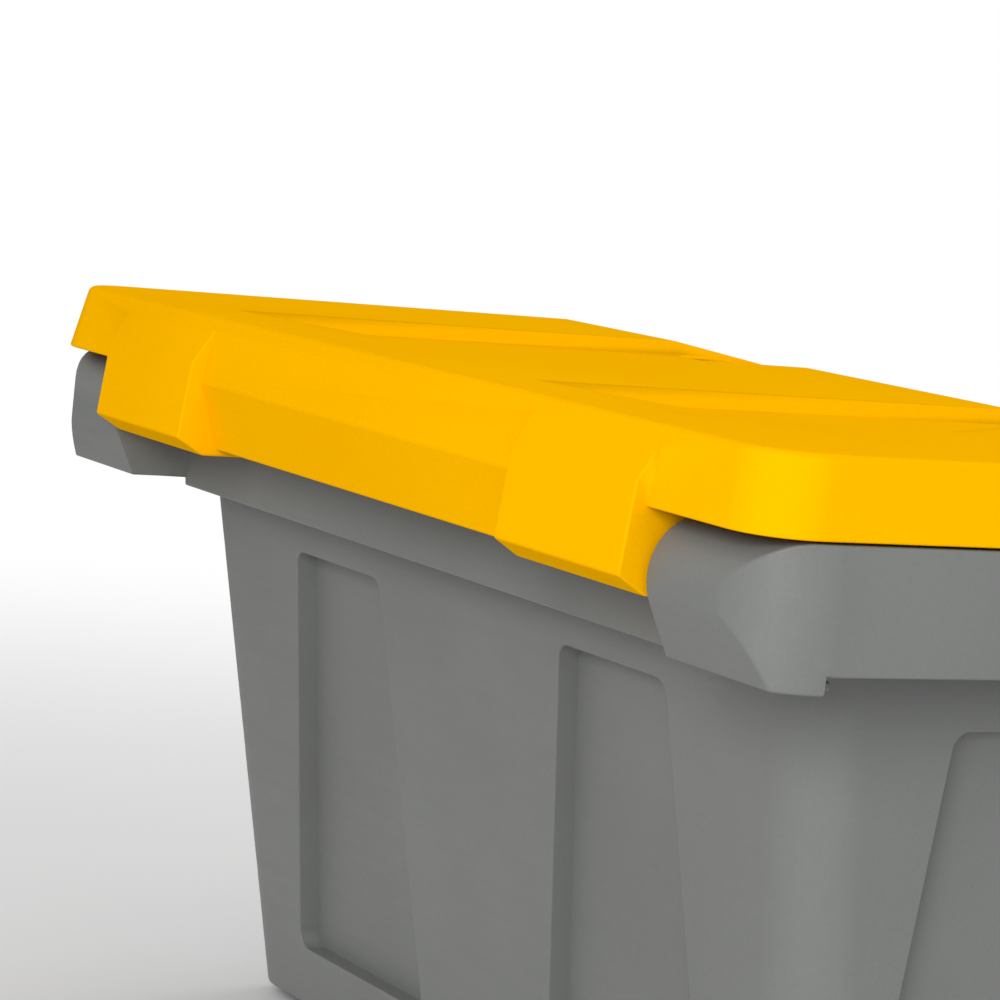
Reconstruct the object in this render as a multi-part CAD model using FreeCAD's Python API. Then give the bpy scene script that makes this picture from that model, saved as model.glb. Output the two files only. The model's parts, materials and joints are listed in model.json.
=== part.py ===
"""Storage toolbox with a hinged lid and a lift-out tray.

Frame: the origin is on the floor under the middle of the box, +Z is up, the hinge side
is +Y, the latch side is -Y and the long side runs along X. Units are millimetres.
"""
import FreeCAD, Part
import math
import os

V = FreeCAD.Vector

# ---- overall sizes
lid_length = 600.0
lid_depth = 370.0
rim_height = 300.0          # lower edge of the closed lid above the floor
lid_height = 29.5           # lid skirt at the hinge side
foot_height = 6.0
past = 10.0                 # cutting solids reach this far past what they cut

# ---- lid
lid_wall = 3.0
lid_corner = 25.0
lid_top_inset = 5.2         # the skirt leans in by this much over its height
lid_edge_fillet = 3.5
nose_start = 282.0          # the flat top ends here, measured from the hinge edge
nose_height = 15.0          # height of the front edge of the lid
channel_inner = 78.0        # a channel's two upper edges, from the middle of the lid
channel_outer = 188.0
channel_depth = 7.0
channel_side = 3.5          # run of the slanted side of a channel
channel_rear = 40.0         # the channel fades in from here ...
channel_full = 108.0        # ... to here, both from the hinge edge
channel_end = 5.0           # depth of a channel at the lid's front edge
channel_seal_gap = 0.7      # the channel's underside clears the seal by this
channel_bend = 347.0        # the channel falls faster from here on, from the hinge edge
seal_rib_wall = 2.4
stiffener_height = 13.0
stiffener_front = 60.0      # the stiffeners under the lid stay clear of its edges by these
stiffener_rear = 70.0
stiffener_beside = 20.0     # and of the channels by this
catch_width = 40.0
catch_proud = 3.0
catch_low = 4.0             # lower and upper side of the catch above the lid's edge
catch_high = 8.0

# ---- hinge
axis_in = 24.4              # hinge axis, inward from the hinge edge
axis_drop = 23.8            # and below the lid's lower edge
pin_radius = 3.0
pin_clearance = 0.05
pin_head = 1.8
pin_head_more = 1.6
pin_head_gap = 2.5
pin_in_block = 20.0
clip_more = 2.6             # the clip's ring stands out from the pin by this
clip_wall = 1.2
clip_gap = 0.3
bore_wall = 5.5
knuckle_inner = 136.0
knuckle_outer = 225.5
knuckle_flare = 2.0         # how much the inner cheek narrows towards the heel
knuckle_bend_out = 5.0      # the knuckle's back stands out by this at its bend
knuckle_bend_up = 9.0
knuckle_heel_out = 8.5      # and by this at its heel
knuckle_heel_drop = 25.2
knuckle_toe_in = 4.0
knuckle_cheek = 3.5
knuckle_sunk = 1.5          # the knuckle's back runs on into the lid by this
knuckle_open = 60.0         # the knuckle's hollow is open towards the body this far in
knuckle_eye_less = 2.0      # the inner eyes are smaller than the knuckle's nose by this
knuckle_eye_start = 1.0
knuckle_eye_end = 10.5
apron_in = 10.2
apron_drop = 29.4
apron_overlap = 1.5         # the apron's ends run into the knuckles' cheeks by this

# ---- body
wall = 3.0
floor_wall = 3.5
tub_end_in = 41.0           # from the lid's end to the tub at the rim
tub_rear_in = 52.0          # from the hinge edge to the tub at the rim
tub_front_in = 28.0
tub_corner = 26.0
draft_end = 0.11
draft_rear = 0.17
draft_front = 0.08
lip_height = 8.0            # upstand of the tub inside the lid
rim_gap = 1.0               # between the collar and the lid's lower edge
collar_proud = 1.0          # the collar stands out from the lid's ends by this
collar_corner = 34.0
collar_step_drop = 19.5     # the line where the collar's draft changes
collar_drop = 47.0          # lower edge of the collar
collar_top_inset = 1.4
collar_low_inset = 0.9
block_gap = 2.5             # between a knuckle and its hinge block
toe_below = 29.8            # the block's toe, below the hinge axis
toe_out = 10.4              # and out from it towards the hinge edge
toe_slant = 1.3             # the block's wall at its toe is thicker along Y by this
block_end_in = 32.0         # the block's lower edge steps up to the collar's here ...
block_end_long = 11.0       # ... over this length at the collar's end
band_in = 42.0              # rim band between the hinge blocks
band_below = 3.8            # the band's lower edge, below the block's
lug_gap = 4.0               # between a lug and its knuckle, where the clip sits
lug_wide = 10.0
rib_wall = 2.5
rib_places = (60.0, 100.0, 200.0, 240.0)    # ribs under the collar's front, from the middle
end_rib_front = 45.0        # ribs under the collar's ends, from the front and from the band
end_rib_rear = 30.0
band_rib_places = (-180, -60, 60, 180)
boss_length = 26.0
pin_hole_in_block = 22.0
ledge_front = 26.0          # the ledge stays clear of the tub's front and rear by these
ledge_rear = 30.0
ledge_gusset = 30.0

# ---- wall panels pressed into the tub
panel_depth = 10.0
panel_top_drop = 76.0
panel_bottom = 34.0
panel_inner = 76.0          # the edges of a panel at its top, from the middle
panel_outer = 154.0
panel_inner_slope = 0.12
panel_outer_slope = 0.09
end_panel_half = 65.0
end_panel_slope = 0.02
panel_corner = 7.0

# ---- tray
tray_wall = 2.2
tray_floor = 2.5
tray_height = 60.0
tray_top_drop = 4.0         # tray rim below the lid's lower edge
tray_clearance = 3.0
tray_draft = 0.05
tray_corner = 16.0
ledge_out = 14.0
ledge_wall = 3.0
rest_gap = 0.3              # air between the tray and its ledges
divider_wall = 2.0
divider_slot = 0.3
divider_count = 2
divider_drop = 9.0          # the dividers end this far below the tray's rim
rail_wall = 1.8             # upright rails that hold the edges of a divider
rail_long = 6.0
rail_drop = 8.0
rail_sunk = 1.0             # the rails run into the tray's walls by this
handle_half = 70.0
handle_radius = 7.5
handle_leg = 14.0
handle_gap = 24.0           # finger room under the handle
handle_rise = 9.0           # middle of the handle above the tray rim
leg_inner = handle_half - handle_leg
spine_drop = 6.0            # the tray's middle wall ends this far below its rim
post_more = 3.0             # the posts reach this far past the handle's legs
post_half = 7.0
leg_half = 6.0
post_drop = 10.0
screw_radius = 2.0
screw_head_radius = 3.6
screw_head = 3.0
screw_grip = 30.0           # the screw heads sit this far below the top of the tray's posts
screw_into = 8.0            # and the screws reach this far into the handle

# ---- seal, latches, feet
seal_height = 4.0
seal_width = 5.0
seal_gap = 0.5
latch_middle = 150.0
latch_width = 46.0
latch_proud = 8.5
latch_wall = 4.6
latch_axis_out = 5.0
latch_axis_drop = 34.0
latch_eye = 3.5
latch_top = 15.5
latch_nose = 3.0
latch_pin_radius = 2.0
latch_ear = 5.0
latch_gap = 0.4
grip_side = 6.0             # a shallow thumb grip is pressed into the latch's face
grip_depth = 1.2
grip_low = 12.0
grip_high = 30.0
foot_radius = 15.0
foot_spigot_radius = 5.0
foot_spigot = 3.0
foot_inset = 34.0

# ---- places worked out from the sizes
rear = lid_depth / 2
front = -lid_depth / 2
axis_y = rear - axis_in
axis_z = rim_height - axis_drop
barrel_radius = axis_drop - rim_gap
lid_top = rim_height + lid_height
base_z = foot_height
tub_top = rim_height + lip_height
tray_top = rim_height - tray_top_drop
tray_bottom = tray_top - tray_height
post_top = tray_top - post_drop
screw_seat = post_top - screw_grip
tub_half_length = lid_length / 2 - tub_end_in
collar_half_length = lid_length / 2 + collar_proud
block_inner = knuckle_outer + block_gap
block_end_from = collar_half_length - block_end_long
block_drop = axis_drop + toe_below
block_toe_in = axis_in - toe_out
band_drop = block_drop + band_below
lug_outer = knuckle_inner - lug_gap
lug_inner = lug_outer - lug_wide


def at(y_in, drop):
    """A point of the hinge side's profile: distance in from the hinge edge, drop below the rim."""
    return (rear - y_in, rim_height - drop)


def rounded_rectangle(x_half, y_low, y_high, radius, z):
    """Closed outline of straight runs and quarter arcs in a level plane."""
    r = radius
    corners = [(x_half - r, y_high - r, 0), (-x_half + r, y_high - r, 90),
               (-x_half + r, y_low + r, 180), (x_half - r, y_low + r, 270)]
    edges = []
    ends = []
    for cx, cy, start in corners:
        points = []
        for angle in (start, start + 45, start + 90):
            turn = math.radians(angle)
            points.append(V(cx + r * math.cos(turn), cy + r * math.sin(turn), z))
        ends.append((points[0], points[2]))
        edges.append(Part.Arc(*points).toShape())
    for i in range(4):
        edges.insert(2 * i + 1, Part.makeLine(ends[i][1], ends[(i + 1) % 4][0]))
    return Part.Wire(edges)


def prism_x(points, x0, x1):
    """A (y, z) polygon carried along X."""
    wire = Part.makePolygon([V(x0, y, z) for y, z in points + points[:1]])
    return Part.Face(wire).extrude(V(x1 - x0, 0, 0))


def prism_y(points, y0, y1):
    """An (x, z) polygon carried along Y."""
    wire = Part.makePolygon([V(x, y0, z) for x, z in points + points[:1]])
    return Part.Face(wire).extrude(V(0, y1 - y0, 0))


def prism_z(points, z0, z1):
    """An (x, y) polygon carried along Z."""
    wire = Part.makePolygon([V(x, y, z0) for x, y in points + points[:1]])
    return Part.Face(wire).extrude(V(0, 0, z1 - z0))


def box(x0, x1, y0, y1, z0, z1):
    return Part.makeBox(x1 - x0, y1 - y0, z1 - z0, V(x0, y0, z0))


def rod(radius, x0, x1, y, z):
    return Part.makeCylinder(radius, x1 - x0, V(x0, y, z), V(1, 0, 0))


def both_sides(shape):
    """The shape and its mirror image across the middle plane."""
    return [shape, shape.mirror(V(0, 0, 0), V(1, 0, 0))]


def union(shapes):
    whole = shapes[0].fuse(shapes[1:]) if len(shapes) > 1 else shapes[0]
    clean = whole.removeSplitter()
    return clean if clean.isValid() else whole


# ---------------------------------------------------------------- lid
def lid_block(inset):
    """The lid as a solid, taken in by inset on every side: skirt, flat top, channels and nose."""
    x_low = lid_length / 2 - inset
    x_high = x_low - lid_top_inset
    low = rounded_rectangle(x_low, front + inset, rear - inset, lid_corner - inset, rim_height)
    high = rounded_rectangle(x_high, front + inset + lid_top_inset, rear - inset - lid_top_inset,
                             lid_corner - inset, lid_top)
    block = Part.makeLoft([low, high], True)
    far = lid_length
    if inset > 0:
        block = block.cut(box(-far, far, -far, far, lid_top - inset, lid_top + 1))
    fall = (lid_height - nose_height) / (lid_depth - nose_start)
    tip = lid_top - inset - fall * (lid_depth - nose_start + past)
    nose = [(rear - nose_start, lid_top - inset), (front - past, tip), (front - past, lid_top + past),
            (rear - nose_start, lid_top + past)]
    block = block.cut(prism_x(nose, -far, far))
    floor = lid_top - channel_depth - inset
    over_seal = tub_top + seal_height + channel_seal_gap + lid_wall - inset
    end = rim_height + nose_height - channel_end - inset
    drop = (over_seal - end) / (lid_depth - channel_bend)
    along = [(rear - channel_rear, lid_top - inset), (rear - channel_full, floor),
             (rear - nose_start, floor), (rear - channel_bend, over_seal),
             (front - past, end - drop * past), (front - past, lid_top + past),
             (rear - channel_rear, lid_top + past)]
    slope = channel_side / channel_depth
    rise = lid_top + past - floor
    near = channel_inner + channel_side - inset
    away = channel_outer - channel_side + inset
    across = [(near, rim_height - past), (away, rim_height - past), (away, floor),
              (away + slope * rise, lid_top + past), (near - slope * rise, lid_top + past), (near, floor)]
    channel = prism_x(along, -far, far).common(prism_y(across, front - past, rear))
    for cut in both_sides(channel):
        block = block.cut(cut)
    return block


def knuckle_profile():
    """Side view of a knuckle: back with a bend, heel, toe and a round nose over the pin."""
    radius = pin_radius + bore_wall
    top = lid_height - knuckle_sunk
    corners = [at(lid_top_inset + knuckle_sunk, -top), at(-knuckle_bend_out, -knuckle_bend_up),
               at(-knuckle_heel_out, knuckle_heel_drop), at(knuckle_toe_in, axis_drop + radius),
               at(axis_in, axis_drop + radius)]
    turn = math.sqrt(0.5) * radius
    over = at(axis_in + turn, axis_drop + turn)
    nose = at(axis_in + radius, axis_drop)
    last = at(axis_in + radius, -top)
    points = [V(0, y, z) for y, z in corners]
    edges = [Part.makeLine(p, q) for p, q in zip(points, points[1:])]
    edges.append(Part.Arc(points[-1], V(0, *over), V(0, *nose)).toShape())
    edges.append(Part.makeLine(V(0, *nose), V(0, *last)))
    edges.append(Part.makeLine(V(0, *last), points[0]))
    return Part.Face(Part.Wire(edges))


def knuckle_block():
    """One hinge knuckle: a shell with two cheeks and a middle web, open towards the body."""
    solid = knuckle_profile().extrude(V(knuckle_outer - knuckle_inner, 0, 0))
    solid.translate(V(knuckle_inner, 0, 0))
    trim = prism_z([(knuckle_inner - 1, rear + past),
                    (knuckle_inner + knuckle_flare, rear + knuckle_heel_out),
                    (knuckle_inner, rear - knuckle_toe_in), (knuckle_inner - 1, rear - knuckle_toe_in)],
                   rim_height - 2 * axis_drop, lid_top + past)
    solid = solid.cut(trim)
    c = knuckle_cheek
    ceiling = -(lid_height - lid_wall - channel_depth)
    floor = axis_drop + pin_radius + bore_wall - c
    opening = [at(lid_top_inset + c, ceiling), at(-knuckle_bend_out + c, -knuckle_bend_up),
               at(-knuckle_heel_out + c, knuckle_heel_drop - c / 2), at(knuckle_toe_in + c / 2, floor),
               at(axis_in, floor), at(axis_in, axis_drop + past), at(knuckle_open, axis_drop + past),
               at(knuckle_open, ceiling)]
    middle = (knuckle_inner + knuckle_outer) / 2
    radius = pin_radius + bore_wall - knuckle_eye_less
    for x0, x1 in ((knuckle_inner + knuckle_flare + c, middle - rib_wall),
                   (middle + rib_wall, knuckle_outer - c)):
        solid = solid.cut(prism_x(opening, x0, x1))
    start = knuckle_inner + knuckle_flare
    for x0, x1 in ((start + knuckle_eye_start, start + knuckle_eye_end),
                   (knuckle_outer - knuckle_eye_end, knuckle_outer - knuckle_eye_start)):
        solid = solid.fuse(rod(radius, x0, x1, axis_y, axis_z))
    return solid


def make_lid():
    outer = lid_block(0)
    edges = [e for e in outer.Edges if is_top_rim(e)]
    outer = outer.makeFillet(lid_edge_fillet, edges)
    end = knuckle_inner + knuckle_flare + apron_overlap
    apron = prism_x([at(1.2, -3), at(-0.05, 0.3), at(apron_in, apron_drop),
                     at(apron_in + lid_wall, apron_drop), at(lid_wall + 0.5, 1), at(lid_wall + 1, -3)],
                    -end, end)
    shell = outer.cut(lid_block(lid_wall))
    lid = union([shell, apron] + both_sides(knuckle_block()))
    # a seal rib stands over the tub's lip, inside the lid
    rib_low = tub_top + seal_height + seal_gap
    rib = tub_outline_solid(0, rib_low, lid_top)
    rib = rib.cut(tub_outline_solid(seal_rib_wall, rib_low - past, lid_top + past))
    inside = lid_block(lid_wall / 2)
    lid = lid.fuse(rib.common(inside))
    half = rib_wall / 2
    for x in (0, channel_inner - stiffener_beside, channel_outer + stiffener_beside):
        stiffener = box(x - half, x + half, front + stiffener_front, rear - stiffener_rear,
                        lid_top - stiffener_height, lid_top)
        for piece in (both_sides(stiffener) if x else [stiffener]):
            lid = lid.fuse(piece.common(inside))
    for x in (latch_middle, -latch_middle):
        low = rim_height + catch_low
        high = rim_height + catch_high
        inner = front + lid_wall / 2
        catch = prism_x([(inner, low), (front - catch_proud, low), (front - catch_proud, high - 1),
                         (inner, high + 1)], x - catch_width / 2, x + catch_width / 2)
        lid = lid.fuse(catch)
    bore = rod(pin_radius + pin_clearance, knuckle_inner - past, knuckle_outer + past, axis_y, axis_z)
    for cut in both_sides(bore):
        lid = lid.cut(cut)
    return lid.removeSplitter()


def is_top_rim(edge):
    """True for the edges round the top of the lid, not those of its channels."""
    c = edge.CenterOfMass
    b = edge.BoundBox
    if b.ZMin < lid_top - 0.01:
        return False
    side = abs(abs(c.x) - (lid_length / 2 - lid_top_inset)) < lid_corner
    back = c.y > rear - lid_top_inset - lid_corner
    return side or back


# ---------------------------------------------------------------- body
def tub_outline_solid(inset, z0, z1):
    """The tapered tub between two heights, taken in by inset; its walls lean by their drafts."""
    wires = []
    for z in (z0, z1):
        below = rim_height - z
        wires.append(rounded_rectangle(tub_half_length - inset - draft_end * below,
                                       front + tub_front_in + inset + draft_front * below,
                                       rear - tub_rear_in - inset - draft_rear * below,
                                       max(tub_corner - inset, 4.0), z))
    return Part.makeLoft(wires, True)


def wall_panels(grow):
    """The pressed panels of the four walls as solids that cut into the tub, grown by grow."""
    top = rim_height - panel_top_drop + grow
    low = panel_bottom - grow
    fall = top - low
    cutters = []
    outline = [(panel_inner - grow - panel_inner_slope * fall, low),
               (panel_outer + grow + panel_outer_slope * fall, low),
               (panel_outer + grow, top), (panel_inner - grow, top)]
    deep = panel_depth + grow
    for wall_in, slope, turn in ((tub_rear_in, draft_rear, 1), (tub_front_in, draft_front, -1)):
        face = rear * turn - wall_in * turn
        flat = prism_y(outline, -lid_depth, lid_depth)
        y_top = face - turn * (deep + slope * (rim_height - top))
        y_low = face - turn * (deep + slope * (rim_height - low))
        keep = prism_x([(y_top, top), (y_low, low), (turn * lid_depth, low), (turn * lid_depth, top)],
                       -lid_length, lid_length)
        cutters.append(round_uprights(flat.common(keep), 1))
    middle = ((rear - tub_rear_in) + (front + tub_front_in)) / 2
    outline = [(middle - end_panel_half - grow - end_panel_slope * fall, low),
               (middle + end_panel_half + grow + end_panel_slope * fall, low),
               (middle + end_panel_half + grow, top), (middle - end_panel_half - grow, top)]
    flat = prism_x(outline, 0, lid_length)
    x_top = tub_half_length - deep - draft_end * (rim_height - top)
    x_low = tub_half_length - deep - draft_end * (rim_height - low)
    keep = prism_y([(x_low, low), (lid_length, low), (lid_length, top), (x_top, top)], -lid_depth, lid_depth)
    cutters.append(round_uprights(flat.common(keep), 0))
    return [piece for cutter in cutters for piece in both_sides(cutter)]


def round_uprights(cutter, normal):
    """Rounds the corners that a panel shows face on; normal is 0 for X and 1 for Y."""
    edges = []
    for edge in cutter.Edges:
        size = (edge.BoundBox.XLength, edge.BoundBox.YLength)
        if size[normal] > lid_depth / 2 and edge.BoundBox.ZLength < 1:
            edges.append(edge)
    return cutter.makeFillet(panel_corner, edges) if edges else cutter


def make_tub():
    outer = tub_outline_solid(0, base_z, tub_top)
    inner = tub_outline_solid(wall, base_z + floor_wall, tub_top + past)
    for cut in wall_panels(0):
        outer = outer.cut(cut)
    for keep in wall_panels(wall):
        inner = inner.cut(keep)
    return outer.cut(inner)


def collar_block(inset):
    """The collar and the two hinge blocks as solids: their side profile cut to their plan."""
    r = barrel_radius - inset
    toe = (block_toe_in + inset * toe_slant, block_drop)
    gap = math.hypot(toe[0] - axis_in, toe[1] - axis_drop)
    base = math.atan2(axis_drop - toe[1], toe[0] - axis_in)
    touch = base - math.acos(r / gap)
    start = V(0, rear - axis_in, axis_z + r)
    middle_angle = (math.pi / 2 + touch % (2 * math.pi)) / 2

    def on_circle(angle):
        return V(0, rear - axis_in - r * math.cos(angle), axis_z + r * math.sin(angle))

    end = on_circle(touch)
    arc = Part.Arc(start, on_circle(middle_angle), end).toShape()
    low = rim_height - block_drop - inset
    points = [end, V(0, rear - toe[0], low), V(0, rear - band_in + inset, low),
              V(0, rear - band_in + inset, rim_height - collar_drop - inset),
              V(0, front - past, rim_height - collar_drop - inset),
              V(0, front - past, axis_z + r), start]
    wire = Part.Wire([arc] + [Part.makeLine(a, b) for a, b in zip(points, points[1:])])
    profile = Part.Face(wire).extrude(V(2 * lid_length, 0, 0))
    profile.translate(V(-lid_length, 0, 0))
    levels = [(rim_height - rim_gap, collar_top_inset), (rim_height - collar_step_drop, 0.0),
              (rim_height - band_drop - past, collar_low_inset)]
    lofts = []
    for (z1, in1), (z0, in0) in zip(levels, levels[1:]):
        wires = []
        for z, more in ((z0, in0), (z1, in1)):
            take = more + inset
            wires.append(rounded_rectangle(collar_half_length - take, front + take,
                                           rear - axis_in + barrel_radius - inset, collar_corner - take, z))
        lofts.append(Part.makeLoft(wires, True))
    plan = union(lofts)
    return profile.common(plan)


def make_body():
    tub_full = tub_outline_solid(0, base_z, tub_top)
    collar = collar_block(0)
    far = lid_length
    notch = box(-block_inner, block_inner, rear - band_in, far, 0, far)
    collar = collar.cut(notch)
    hollow = collar_block(wall)
    hollow = hollow.cut(box(-far, far, -far, far, rim_height - rim_gap - wall, far))
    hollow = hollow.cut(box(-block_inner - wall, block_inner + wall, rear - band_in - wall, far, 0, far))
    hollow = hollow.cut(box(-far, far, rear - band_in - wall, rear - band_in, 0, far))
    boss = rod(pin_radius + bore_wall, block_inner, block_inner + boss_length, axis_y, axis_z)
    for keep in both_sides(boss):
        hollow = hollow.cut(keep)
    for x in rib_places:
        rib = box(x - rib_wall / 2, x + rib_wall / 2, front, 0, 0, far)
        for keep in both_sides(rib):
            hollow = hollow.cut(keep)
    for y in (front + end_rib_front, rear - band_in - end_rib_rear):
        hollow = hollow.cut(box(-far, far, y - rib_wall / 2, y + rib_wall / 2, 0, far))
    hollow = hollow.cut(tub_full)
    step = box(block_end_from, far, rear - band_in - past, rear - block_end_in, 0, rim_height - collar_drop)
    collar = collar.cut(hollow).cut(tub_full).cut(both_sides(step))
    band = box(-block_inner - 1, block_inner + 1, rear - band_in - wall, rear - band_in,
               rim_height - band_drop, rim_height - rim_gap)
    band_top = box(-block_inner - 1, block_inner + 1, rear - tub_rear_in - wall, rear - band_in,
                   rim_height - rim_gap - wall, rim_height - rim_gap)
    half = rib_wall / 2
    band_ribs = [box(x - half, x + half, rear - tub_rear_in - past, rear - band_in - 1,
                     rim_height - band_drop + 2, rim_height - rim_gap) for x in band_rib_places]
    backing = union([band, band_top] + band_ribs).cut(tub_full)
    lug_r = pin_radius + wall
    root = rear - band_in - 1
    lug = prism_x([(axis_y, axis_z - lug_r), (axis_y, axis_z + lug_r), (root, axis_z + 2 * lug_r),
                   (root, axis_z - lug_r - 2)], lug_inner, lug_outer)
    lug = lug.fuse(rod(lug_r, lug_inner, lug_outer, axis_y, axis_z))
    ledge = tray_ledge()
    tub = make_tub()
    ears = [ear for x in (latch_middle, -latch_middle) for ear in latch_ears(x)]
    body = union([tub, collar, backing] + both_sides(lug) + both_sides(ledge) + ears)
    pin_hole = rod(pin_radius + pin_clearance, lug_inner - past, block_inner + pin_hole_in_block,
                   axis_y, axis_z)
    for cut in both_sides(pin_hole):
        body = body.cut(cut)
    ear_half = latch_width / 2 + latch_gap + latch_ear
    for x in (latch_middle, -latch_middle):
        body = body.cut(rod(latch_pin_radius + pin_clearance, x - ear_half - 1, x + ear_half + 1,
                            front - latch_axis_out, rim_height - latch_axis_drop))
    for x, y in foot_places():
        body = body.cut(Part.makeCylinder(foot_spigot_radius + pin_clearance, foot_spigot,
                                          V(x, y, base_z), V(0, 0, 1)))
    return body.removeSplitter()


def tray_ledge():
    """A shelf on an end wall that carries one end of the tray, with two gussets."""
    z = tray_bottom - rest_gap
    x_wall = tub_half_length - draft_end * (rim_height - z) - wall / 2
    x_in = x_wall - ledge_out
    y0 = front + tub_front_in + ledge_front
    y1 = rear - tub_rear_in - ledge_rear
    shelf = box(x_in, x_wall, y0, y1, z - ledge_wall, z)
    gussets = [prism_y([(x_in + 2, z - ledge_wall), (x_wall, z - ledge_wall), (x_wall, z - ledge_gusset)],
                       y, y + rib_wall) for y in (y0, (y0 + y1) / 2, y1 - rib_wall)]
    outside = tub_outline_solid(wall / 2, base_z, tub_top)
    for keep in wall_panels(wall / 2):
        outside = outside.cut(keep)
    return union([shelf] + gussets).common(outside)


def latch_ears(x):
    """The two ears on the collar that hold a latch pin."""
    ears = []
    y = front - latch_axis_out
    z = rim_height - latch_axis_drop
    for side in (1, -1):
        x0 = x + side * (latch_width / 2 + latch_gap)
        x1 = x0 + side * latch_ear
        a, b = min(x0, x1), max(x0, x1)
        ear = rod(latch_eye, a, b, y, z)
        root = front + wall - 0.5
        foot = prism_x([(y, z - latch_eye), (y, z + latch_eye), (root, z + 2 * latch_eye),
                        (root, z - 2 * latch_eye)], a, b)
        ears.append(ear.fuse(foot))
    return ears


# ---------------------------------------------------------------- tray
def tray_solid(inset, z0, z1):
    """The tray between two heights, taken in by inset, with drafted walls."""
    wires = []
    below_top = rim_height - tray_bottom
    lean = tray_draft * tray_height
    x_half = tub_half_length - wall - draft_end * below_top + lean - tray_clearance
    y_front = front + tub_front_in + wall + draft_front * below_top - lean + tray_clearance
    y_rear = rear - tub_rear_in - wall - draft_rear * below_top + lean - tray_clearance
    for z in (z0, z1):
        lean = tray_draft * (tray_top - z)
        wires.append(rounded_rectangle(x_half - inset - lean, y_front + inset + lean, y_rear - inset - lean,
                                       max(tray_corner - inset, 3.0), z))
    return Part.makeLoft(wires, True), x_half, y_front, y_rear


def make_tray():
    outer, x_half, y_front, y_rear = tray_solid(0, tray_bottom, tray_top)
    inner = tray_solid(tray_wall, tray_bottom + tray_floor, tray_top + 1)[0]
    middle = (y_front + y_rear) / 2
    spine = box(-x_half, x_half, middle - tray_wall, middle + tray_wall, tray_bottom, tray_top - spine_drop)
    posts = box(leg_inner, handle_half + post_more, middle - post_half, middle + post_half,
                tray_bottom, post_top)
    room = box(-handle_half - post_more, handle_half + post_more, middle - post_half, middle + post_half,
               post_top, tray_top)
    finger = box(-leg_inner, leg_inner, middle - post_half, middle + post_half,
                 tray_top + handle_rise - handle_radius - handle_gap, tray_top)
    fill = union([spine] + both_sides(posts)).cut(room).cut(finger)
    fill = fill.common(tray_solid(tray_wall / 2, tray_bottom, tray_top)[0])
    slots = []
    for x in divider_places(x_half):
        slots.append(slot_rails(x, y_front + tray_draft * tray_height - rail_sunk))
        slots.append(slot_rails(x, middle - tray_wall - rail_long + rail_sunk / 2))
    rails = union(slots).common(tray_solid(tray_wall / 2, tray_bottom, tray_top)[0])
    tray = union([outer.cut(inner), fill, rails])
    for x in screw_places():
        shank = Part.makeCylinder(screw_radius, tray_height, V(x, middle, tray_bottom), V(0, 0, 1))
        seat = Part.makeCylinder(screw_head_radius + latch_gap, screw_seat - tray_bottom,
                                 V(x, middle, tray_bottom), V(0, 0, 1))
        tray = tray.cut(shank).cut(seat)
    return tray.removeSplitter()


def screw_places():
    return [s * (handle_half - handle_leg / 2) for s in (-1, 1)]


def divider_places(x_half):
    step = 2 * x_half / (divider_count + 1)
    return [-x_half + step * (i + 1) for i in range(divider_count)]


def slot_rails(x, y0):
    """Two upright rails that hold the edge of a divider."""
    half = divider_wall / 2 + divider_slot
    rails = [box(x + half, x + half + rail_wall, y0, y0 + rail_long, tray_bottom, tray_top - rail_drop),
             box(x - half - rail_wall, x - half, y0, y0 + rail_long, tray_bottom, tray_top - rail_drop)]
    return rails[0].fuse(rails[1])


def make_divider(x):
    _, x_half, y_front, y_rear = tray_solid(0, tray_bottom, tray_top)
    middle = (y_front + y_rear) / 2
    z0 = tray_bottom + tray_floor + divider_slot
    plate = box(x - divider_wall / 2, x + divider_wall / 2, y_front, middle - tray_wall - divider_slot,
                z0, tray_top - divider_drop)
    return plate.common(tray_solid(tray_wall + divider_slot, z0 - 0.01, tray_top)[0])


def make_tray_handle():
    _, x_half, y_front, y_rear = tray_solid(0, tray_bottom, tray_top)
    middle = (y_front + y_rear) / 2
    z = tray_top + handle_rise
    grip = rod(handle_radius, -handle_half, handle_half, middle, z)
    grip = grip.fuse(Part.makeSphere(handle_radius, V(-handle_half, middle, z)))
    grip = grip.fuse(Part.makeSphere(handle_radius, V(handle_half, middle, z)))
    leg = box(leg_inner, handle_half, middle - leg_half, middle + leg_half, post_top, z)
    handle = union([grip] + both_sides(leg))
    for x in screw_places():
        handle = handle.cut(Part.makeCylinder(screw_radius, post_drop, V(x, middle, post_top), V(0, 0, 1)))
    return handle


def make_tray_screws():
    """Two screws that hold the handle, driven up from under the tray's posts."""
    _, x_half, y_front, y_rear = tray_solid(0, tray_bottom, tray_top)
    middle = (y_front + y_rear) / 2
    screws = []
    for x in screw_places():
        shank = Part.makeCylinder(screw_radius - pin_clearance, screw_grip + screw_into,
                                  V(x, middle, screw_seat), V(0, 0, 1))
        head = Part.makeCylinder(screw_head_radius, screw_head, V(x, middle, screw_seat), V(0, 0, -1))
        screws.append(shank.fuse(head))
    return Part.makeCompound(screws)


# ---------------------------------------------------------------- small parts
def make_hinge_pin(side):
    start = lug_inner - pin_head_gap
    pin = rod(pin_radius, start, block_inner + pin_in_block, axis_y, axis_z)
    head = rod(pin_radius + pin_head_more, start - pin_head, start, axis_y, axis_z)
    pin = pin.fuse(head)
    return pin if side > 0 else pin.mirror(V(0, 0, 0), V(1, 0, 0))


def make_hinge_clip(side):
    """A push-on ring on the hinge pin between the lug and the knuckle."""
    start = lug_outer + clip_gap
    ring = rod(pin_radius + clip_more, start, start + clip_wall, axis_y, axis_z)
    ring = ring.cut(rod(pin_radius, lug_outer, lug_outer + past, axis_y, axis_z))
    return ring if side > 0 else ring.mirror(V(0, 0, 0), V(1, 0, 0))


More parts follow.
